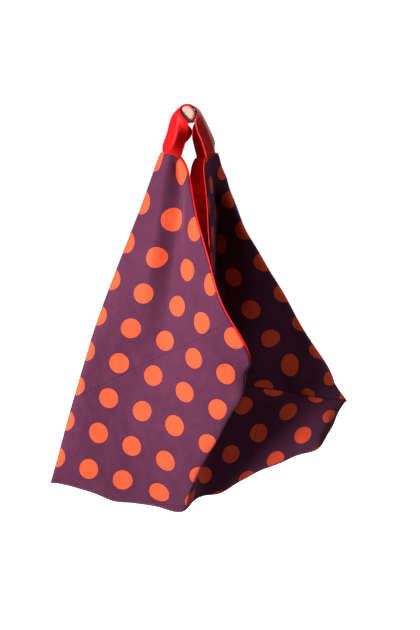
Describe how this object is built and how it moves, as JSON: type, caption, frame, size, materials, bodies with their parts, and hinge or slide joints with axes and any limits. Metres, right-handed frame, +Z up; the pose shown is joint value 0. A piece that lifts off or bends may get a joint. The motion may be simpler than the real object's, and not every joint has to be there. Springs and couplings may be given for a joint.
{
  "type": "origami shoulder bag on a wall peg",
  "caption": "Lined cloth bag folded and sewn from one long strip, with a polka-dot outside and a short sewn handle looped over a round wall peg.",
  "frame": {"origin": "centre of the peg's flat wall end", "axes": "+Y along the peg's axis into the wall, so the bag's front faces -Y; +Z up"},
  "size_m": [0.4252, 0.3212, 0.5901],
  "materials": {
    "plum_dotted_cloth": "soft sheen, plum with orange-red dots",
    "red_lining": "soft sheen, plain red",
    "red_handle_cloth": "soft sheen, plain red",
    "peg_wood": "bare, sanded"
  },
  "bodies": {
    "root": {"outer_cloth": "plum_dotted_cloth", "lining": "red_lining", "handle": "red_handle_cloth", "peg": "peg_wood"}
  },
  "joints": []
}
